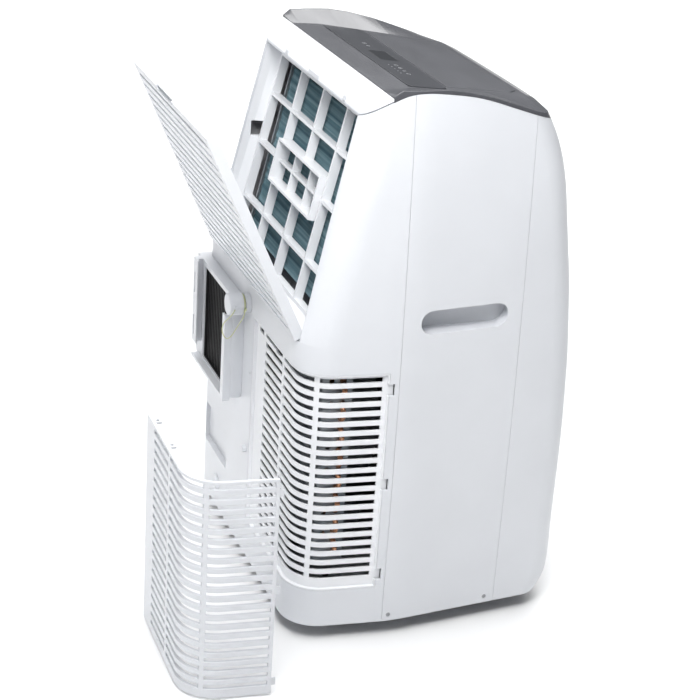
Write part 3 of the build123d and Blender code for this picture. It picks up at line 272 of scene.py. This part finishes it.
def fin_pack(name, light, dark, tube_pitch):
    """Coated fins: horizontal rows where the tubes pass, fine streaks and stains."""
    finish = Finish(name, light, 0.42, metallic=0.35)
    streaks = finish.noise(16.0, 6.0, (0.25, 2.0, 14.0))
    tone = finish.ramp(streaks, ((0.32, dark), (0.72, light)))
    rows = finish.ramp(
        finish.bands(math.pi / (10.0 * tube_pitch) * 2.0, "Z", 0.35),
        ((0.0, (0.55, 0.6, 0.62)), (0.35, (1.0, 1.0, 1.0)), (0.9, (1.0, 1.0, 1.0))),
    )
    stained = finish.ramp(finish.noise(5.0, 3.0), ((0.35, (0.72, 0.78, 0.8)), (0.65, (1.0, 1.0, 1.0))))
    finish.tint(finish.blend("MULTIPLY", 0.7, finish.blend("MULTIPLY", 0.75, tone, rows), stained))
    finish.vary_roughness(finish.noise(120.0, 3.0), 0.34, 0.55)
    finish.bump(finish.noise(240.0, 3.0, (0.5, 1.0, 3.0)), 0.25, 0.0002)
    return finish.material


def rubbery(name, color, roughness):
    finish = Finish(name, color, roughness)
    finish.tint(finish.ramp(finish.noise(60.0, 3.0), ((0.3, scaled(color, 0.85)), (0.7, color))))
    finish.vary_roughness(finish.noise(200.0, 2.0), roughness - 0.05, roughness + 0.1)
    finish.bump(finish.noise(900.0, 3.0), 0.15, 0.0001)
    finish.shader.inputs["Subsurface Weight"].default_value = 0.05
    finish.shader.inputs["Subsurface Scale"].default_value = 0.002
    return finish.material


MATERIALS = {
    "casing_white": moulded("casing_white", (0.74, 0.755, 0.785), 0.36, coat=0.1),
    # A brighter copy of the casing white plastic. The raised brightness is painted light that lifts
    # recessed parts such as the evaporator guard.
    "inner_white": moulded("inner_white", (0.87, 0.88, 0.90), 0.42),
    "top_dark": glossy("top_dark", (0.080, 0.082, 0.092), 0.16),
    "control_gloss": glossy("control_gloss", (0.052, 0.054, 0.061), 0.08),
    "display_glass": glossy("display_glass", (0.012, 0.013, 0.016), 0.05),
    "louvre_black": moulded("louvre_black", (0.012, 0.012, 0.013), 0.45),
    "tether_rubber": rubbery("tether_rubber", (0.62, 0.64, 0.36), 0.5),
    "filter_net": moulded("filter_net", (0.55, 0.58, 0.62), 0.5),
    "screw_steel": metal("screw_steel", (0.42, 0.43, 0.45), 0.35),
    "coil_fins": fin_pack("coil_fins", (0.44, 0.62, 0.68), (0.16, 0.29, 0.34), 0.0225),
    "galvanised": metal("galvanised", (0.62, 0.64, 0.66), 0.38, (1.0, 1.0, 1.0), 0.7),
    "copper": metal("copper", (0.72, 0.36, 0.21), 0.26),
    "compressor_paint": moulded("compressor_paint", (0.016, 0.016, 0.018), 0.3, grain=500.0, depth=0.3),
    "mount_rubber": rubbery("mount_rubber", (0.02, 0.02, 0.02), 0.65),
    "duct_plastic": moulded("duct_plastic", (0.42, 0.43, 0.46), 0.5),
    "fan_plastic": moulded("fan_plastic", (0.03, 0.03, 0.033), 0.42),
    "motor_steel": moulded("motor_steel", (0.16, 0.165, 0.18), 0.38, grain=600.0),
    "caster_plastic": moulded("caster_plastic", (0.03, 0.03, 0.034), 0.4),
    "wheel_plastic": moulded("wheel_plastic", (0.10, 0.10, 0.11), 0.5),
}
CONDENSER_FINS = fin_pack("condenser_fins", (0.50, 0.52, 0.55), (0.20, 0.21, 0.23), 0.032)
ICON_GREY = moulded("icon_grey", (0.36, 0.37, 0.39), 0.35)


def paint_nodes():
    """Give every CAD node the finish of its slot in the record."""
    for entry in frame["record"]["subparts"]:
        node = frame["nodes"][entry["node"]]
        finish = MATERIALS[entry["material_slot"]]
        if node.material_slots:
            node.material_slots[0].material = finish
        else:
            node.data.materials.append(finish)


# ------------------------------------------------------------------ room
def add_area(name, place, target, size, power, color=(1.0, 1.0, 1.0)):
    data = bpy.data.lights.new(name, "AREA")
    data.shape = "RECTANGLE"
    data.size, data.size_y = size
    data.energy = power
    data.color = color
    light = bpy.data.objects.new(name, data)
    bpy.context.scene.collection.objects.link(light)
    light.location = place
    light.rotation_euler = (Vector(target) - Vector(place)).to_track_quat("-Z", "Y").to_euler()


FLOOR_HALF = 12.0
FLOOR_THICKNESS = 0.02
FLOOR_TONES = ((0.3, (0.92, 0.925, 0.93)), (0.7, (0.94, 0.943, 0.946)))
SKY_LOW = (0.62, 0.64, 0.68, 1.0)
SKY_HIGH = (1.0, 1.0, 1.0, 1.0)
SKY_STRENGTH = 0.30
DOWN_TILT = 0.0001  # keeps a light that looks straight down from having no set turn


def add_down_light(name, place, size, power):
    """A soft box that looks straight down."""
    add_area(name, place, (place[0], place[1] + DOWN_TILT, 0.0), size, power)


def set_sky():
    world = bpy.data.worlds.new("studio")
    bpy.context.scene.world = world
    world.use_nodes = True
    tree = world.node_tree
    sky = tree.nodes["Background"]
    place = tree.nodes.new("ShaderNodeTexCoord")
    split = tree.nodes.new("ShaderNodeSeparateXYZ")
    height = tree.nodes.new("ShaderNodeMapRange")
    shade = tree.nodes.new("ShaderNodeValToRGB")
    tree.links.new(place.outputs["Generated"], split.inputs["Vector"])
    tree.links.new(split.outputs["Z"], height.inputs["Value"])
    height.inputs["From Min"].default_value = 0.0
    height.inputs["From Max"].default_value = 1.0
    tree.links.new(height.outputs["Result"], shade.inputs["Fac"])
    shade.color_ramp.elements[0].position = 0.25
    shade.color_ramp.elements[0].color = SKY_LOW
    shade.color_ramp.elements[1].position = 0.75
    shade.color_ramp.elements[1].color = SKY_HIGH
    tree.links.new(shade.outputs["Color"], sky.inputs["Color"])
    sky.inputs["Strength"].default_value = SKY_STRENGTH


def add_floor():
    form = bmesh.new()
    low = (-FLOOR_HALF, -FLOOR_HALF, -FLOOR_THICKNESS)
    add_block(form, low, (FLOOR_HALF, FLOOR_HALF, 0.0))
    finish = Finish("floor", (0.93, 0.935, 0.94), 0.7)
    finish.tint(finish.ramp(finish.noise(1.5, 3.0), FLOOR_TONES))
    floor = add_piece("floor", mesh_from("floor", form), finish.material)


def set_room():
    set_sky()
    add_down_light("overhead", (-0.2, 0.2, 3.2), (2.6, 2.6), 54.0)
    add_down_light("backdrop", (3.2, -1.4, 3.0), (4.2, 4.2), 190.0)
    add_area("key", (-0.80, 0.42, 1.38), (0.0, 0.0, 0.62), (0.5, 0.5), 12.0)
    add_area("rear", (-0.5, 2.8, 1.9), (0.0, 0.0, 0.38), (1.4, 1.4), 19.0, (1.0, 0.995, 0.985))
    add_floor()
    bpy.context.scene.view_settings.view_transform = "Standard"


# ------------------------------------------------------------------ tether
TETHER_DIAMETER = 1.3 * MM
TETHER_ROUTE = (
    (-14.0, 222.0, 384.5),
    (-14.5, 225.5, 378.0),
    (-9.0, 230.0, 370.0),
    (0.0, 232.5, 361.5),
    (7.5, 232.5, 351.0),
    (10.5, 230.5, 340.5),
    (6.5, 226.5, 334.5),
    (1.5, 221.5, 339.5),
    (-0.5, 216.5, 349.5),
    (-4.0, 211.5, 361.5),
    (-9.5, 208.0, 371.5),
    (-12.0, 207.3, 380.8),
)


def add_tether():
    curve = bpy.data.curves.new("cap_tether_cord", "CURVE")
    curve.dimensions = "3D"
    spline = curve.splines.new("NURBS")
    spline.points.add(len(TETHER_ROUTE) - 1)
    for point, (x, y, z) in zip(spline.points, TETHER_ROUTE):
        point.co = (x * MM, y * MM, z * MM, 1.0)
    spline.order_u = 3
    spline.use_endpoint_u = True
    spline.resolution_u = 12
    curve.bevel_depth = TETHER_DIAMETER / 2
    curve.bevel_resolution = 4
    curve.use_fill_caps = True
    tether = bpy.data.objects.new("cap_tether_cord", curve)
    bpy.context.scene.collection.objects.link(tether)
    curve.materials.append(MATERIALS["tether_rubber"])
    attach(tether, "drain_cap")
    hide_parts("cap_tether")


# ------------------------------------------------------------------ coils
REAR_LEAN = math.atan(0.233)
COIL_DEPTH = 36.0 * MM
FIN_PITCH = 2.2 * MM
FIN_THICKNESS = 0.3 * MM
FIN_STEP = 7.6 * MM  # height of a flat stretch of a fin's front edge
FIN_NOTCH = 0.7 * MM
CONDENSER_DEPTH = 40.0 * MM
TUBE_RADIUS = 3.4 * MM
TUBE_SIDES = 14
TUBE_TRIM = 0.3 * MM


def spaced(length, count):
    """Middles of equal shares of a length."""
    return [length * (i + 0.5) / count for i in range(count)]


def leaning_frame(node, angle, depth):
    """X range, height and matrix of a slab that leans by an angle, from its node's box."""
    low, high = (Vector(corner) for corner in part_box(node))
    sine, cosine = math.sin(angle), math.cos(angle)
    if angle >= 0:
        origin = Vector((0.0, high.y, low.z + depth * sine))
    else:
        origin = Vector((0.0, low.y + depth * cosine, low.z))
    height = (high.z - low.z - depth * abs(sine)) / cosine
    columns = (Vector((1, 0, 0)), Vector((0, cosine, sine)), Vector((0, -sine, cosine)))
    turn = Matrix(columns).transposed().to_4x4()
    return low.x, high.x, height, Matrix.Translation(origin) @ turn


def add_plate(form, outline, low_x, high_x, place):
    """A thin plate across X with a given outline of (depth, height) points."""
    near = [form.verts.new(place @ Vector((low_x, n, v))) for n, v in outline]
    far = [form.verts.new(place @ Vector((high_x, n, v))) for n, v in outline]
    form.faces.new(near)
    form.faces.new(far[::-1])
    count = len(outline)
    for i in range(count):
        j = (i + 1) % count
        form.faces.new((near[i], far[i], far[j], near[j]))


def notched_fin(depth, height):
    """A fin's outline, with every other stretch of its front edge set back."""
    outline = [(-depth, height), (-depth, 0.0)]
    for i in range(int(height / FIN_STEP)):
        setback = -FIN_NOTCH if i % 2 else 0.0
        outline.append((setback, i * FIN_STEP))
        outline.append((setback, (i + 1) * FIN_STEP))
    outline.append((0.0, height))
    return outline


def add_fin_pack(name, node, angle, depth, material):
    low_x, high_x, height, place = leaning_frame(node, angle, depth)
    outline = notched_fin(depth, height)
    form = bmesh.new()
    for i in range(int((high_x - low_x) / FIN_PITCH)):
        fin_x = low_x + FIN_PITCH * i
        add_plate(form, outline, fin_x, fin_x + FIN_THICKNESS, place)
    pack = add_piece(name, mesh_from(name, form), material)
    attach(pack, "body")
    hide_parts(node)
    return low_x, high_x, height, place


def add_coil_tubes(name, low_x, high_x, depths, heights, place):
    """The straight copper tubes that the fins are pressed onto."""
    form = bmesh.new()
    for n in depths:
        for v in heights:
            ends = [Vector((low_x, n, v)), Vector((high_x, n, v))]
            add_tube(form, ends, TUBE_RADIUS, TUBE_SIDES, place)
    tubes = add_piece(name, mesh_from(name, form), MATERIALS["copper"], 40)
    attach(tubes, "body")


def add_coils():
    low_x, high_x, height, place = add_fin_pack(
        "evaporator_fin_pack", "evaporator_coil", REAR_LEAN, COIL_DEPTH, MATERIALS["coil_fins"]
    )
    depths = (-0.25 * COIL_DEPTH, -0.75 * COIL_DEPTH)
    add_coil_tubes("evaporator_tubes", low_x, high_x - TUBE_TRIM, depths, spaced(height, 10), place)
    low_x, high_x, height, place = add_fin_pack(
        "condenser_fin_pack", "condenser_coil", 0.0, CONDENSER_DEPTH, CONDENSER_FINS
    )
    depths = (-0.3 * CONDENSER_DEPTH, -0.7 * CONDENSER_DEPTH)
    add_coil_tubes("condenser_tubes", low_x, high_x, depths, spaced(height, 9), place)


# ------------------------------------------------------------------ filter net
DOOR_LEAN = math.radians(-24.5)
NET_DEPTH = 2.4 * MM
NET_TAPER = 13.5 * MM  # the net is this much narrower on each side at its top
NET_PITCH = 4.0 * MM
STRAND = 0.45 * MM


NET_LEVEL = -1.1 * MM  # depth at which the two layers of strands cross
RIM_WIDTH = 5.0 * MM
RIB_HALF = 2.0 * MM
CROSS_BARS = 6


def add_net_rim(form, half, height, half_at, place):
    """The moulded frame round the net: cross bars, ribs and its two leaning sides."""
    depth = (-NET_DEPTH, 0.0)
    levels = [0.0] + [height * k / CROSS_BARS for k in range(1, CROSS_BARS)] + [height - RIM_WIDTH]
    for v in levels:
        side = half_at(v + RIM_WIDTH)
        add_block(form, (-side, depth[0], v), (side, depth[1], v + RIM_WIDTH), place)
    for share in (-0.5, 0.0, 0.5):
        x = share * half
        add_block(form, (x - RIB_HALF, depth[0], 0.0), (x + RIB_HALF, depth[1], height), place)
    for side in (-1, 1):
        verts = []
        for reach, v in ((half, 0.0), (half_at(height), height)):
            for x in (side * reach, side * (reach - RIM_WIDTH)):
                for n in depth:
                    verts.append(form.verts.new(place @ Vector((x, n, v))))
        for face in BOX_FACES:
            form.faces.new([verts[k] for k in face])


def add_strands(form, half, height, half_at, place):
    """The net itself: one layer of strands across and one up, crossing in the middle."""
    for i in range(1, int(height / NET_PITCH)):
        v = NET_PITCH * i
        side = half_at(v)
        add_block(form, (-side, NET_LEVEL, v), (side, NET_LEVEL + STRAND, v + STRAND), place)
    for i in range(1, int(2.0 * half / NET_PITCH)):
        x = NET_PITCH * i - half
        top = min(height, height * (half - abs(x)) / NET_TAPER)
        add_block(form, (x, NET_LEVEL - STRAND, 0.0), (x + STRAND, NET_LEVEL, top), place)


def add_filter_net():
    half, height, place = leaning_frame("filter_mesh", DOOR_LEAN, NET_DEPTH)[1:]

    def half_at(v):
        return half - NET_TAPER * v / height

    for name, fill in (("filter_frame", add_net_rim), ("filter_net_weave", add_strands)):
        form = bmesh.new()
        fill(form, half, height, half_at, place)
        piece = add_piece(name, mesh_from(name, form), MATERIALS["filter_net"])
        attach(piece, "filter_door")
    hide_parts("filter_mesh")


# ------------------------------------------------------------------ small details
PLATE_ORIGIN = Vector((0.0, 6.5, 708.5)) * MM
PLATE_UP = Vector((0.0, -0.125, 0.992))
PLATE_RISE = 2.0 * MM
MARK_RISE = 0.12 * MM
MARK_LINE = 30.0 * MM
LAMP_LINE = 40.0 * MM
POWER_MARKS = (-92.0, -50.0)
SPEED_MARKS = (-78.0, 50.0)
DIAL_MARKS = (-64.0, 64.0)
LAMP_COUNT = 5
LAMP_START = -92.0
LAMP_PITCH = 10.5
LATCH_SINK = 0.4
LATCH_ROUND = 0.7 * MM
OPENING_FOOT = 412.0
OPENING_TOP = 692.0
FACE_ORIGIN = Vector((0.0, 198.0, OPENING_FOOT)) * MM
LATCHES = (
    # x, width, height above the opening, height, rise
    (-18.0, 40.0, 1.2, 7.0, 1.6),
    (94.0, 9.0, 1.6, 6.5, 0.9),
    (-128.0, 9.0, 1.6, 6.5, 0.9),
)


def add_ring(form, center, outer, inner, height, place, sides=28, gap=0.0):
    """A flat ring or an open arc of it, standing on a plane."""
    start, end = gap / 2, 2 * math.pi - gap / 2
    rings = []
    for i in range(sides + 1):
        angle = start + (end - start) * i / sides + math.pi / 2
        spots = []
        for radius, level in ((outer, 0.0), (outer, height), (inner, height), (inner, 0.0)):
            x = center[0] + radius * math.cos(angle)
            y = center[1] + radius * math.sin(angle)
            spots.append(form.verts.new(place @ Vector((x, y, level))))
        rings.append(spots)
    for first, second in zip(rings, rings[1:]):
        for k in range(4):
            form.faces.new((first[k], first[(k + 1) % 4], second[(k + 1) % 4], second[k]))
    form.faces.new(rings[0])
    form.faces.new(rings[-1][::-1])


def plate_frame():
    """Matrix of the control plate's upper surface."""
    up = PLATE_UP.normalized()
    across = Vector((1.0, 0.0, 0.0))
    along = up.cross(across)
    turn = Matrix((across, along, up)).transposed().to_4x4()
    return Matrix.Translation(PLATE_ORIGIN + up * PLATE_RISE) @ turn


def add_bar(form, x, y, half_width, half_height, place):
    low = ((x - half_width) * MM, (y - half_height) * MM, 0.0)
    add_block(form, low, ((x + half_width) * MM, (y + half_height) * MM, MARK_RISE), place)


def add_control_marks():
    """Six generic touch marks and a row of lamps on the control plate."""
    place = plate_frame()
    middle = MARK_LINE / MM
    form = bmesh.new()
    for x in POWER_MARKS:
        add_ring(form, (x * MM, MARK_LINE), 2.8 * MM, 2.2 * MM, MARK_RISE, place, gap=1.1)
        add_bar(form, x, middle + 1.9, 0.3, 1.3, place)
    for x in SPEED_MARKS:
        for step in (-1.6, 0.0, 1.6):
            add_bar(form, x, middle + step, 2.4, 0.3, place)
    for x in DIAL_MARKS:
        add_ring(form, (x * MM, MARK_LINE), 2.8 * MM, 2.3 * MM, MARK_RISE, place)
        add_ring(form, (x * MM, MARK_LINE), 1.1 * MM, 0.3 * MM, MARK_RISE, place, sides=16)
    for i in range(LAMP_COUNT):
        spot = ((LAMP_START + LAMP_PITCH * i) * MM, LAMP_LINE)
        add_ring(form, spot, 0.8 * MM, 0.1 * MM, MARK_RISE, place, sides=12)
    marks = add_piece("control_marks", mesh_from("control_marks", form), ICON_GREY)
    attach(marks, "body")


def opening_frame():
    """Matrix of the upper leaning rear face: X across, Y up the face, Z outward."""
    out = Vector((0.0, math.cos(REAR_LEAN), math.sin(REAR_LEAN)))
    across = Vector((-1.0, 0.0, 0.0))
    turn = Matrix((across, out.cross(across), out)).transposed().to_4x4()
    return Matrix.Translation(FACE_ORIGIN) @ turn


def add_latches():
    """The door's catch plate and two strike pockets on the band above the opening."""
    place = opening_frame()
    form = bmesh.new()
    top = (OPENING_TOP - OPENING_FOOT) / math.cos(REAR_LEAN)
    for x, width, above, height, rise in LATCHES:
        low = Vector((-x - width / 2, top + above, -LATCH_SINK)) * MM
        high = Vector((-x + width / 2, top + above + height, rise)) * MM
        add_block(form, low, high, place)
    bmesh.ops.bevel(form, geom=form.edges[:], offset=LATCH_ROUND, segments=3, affect="EDGES")
    latches = add_piece("door_latches", mesh_from("door_latches", form), MATERIALS["casing_white"], 50)
    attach(latches, "body")


set_camera()
add_tether()
add_coils()
add_filter_net()
add_control_marks()
add_latches()
paint_nodes()
set_room()
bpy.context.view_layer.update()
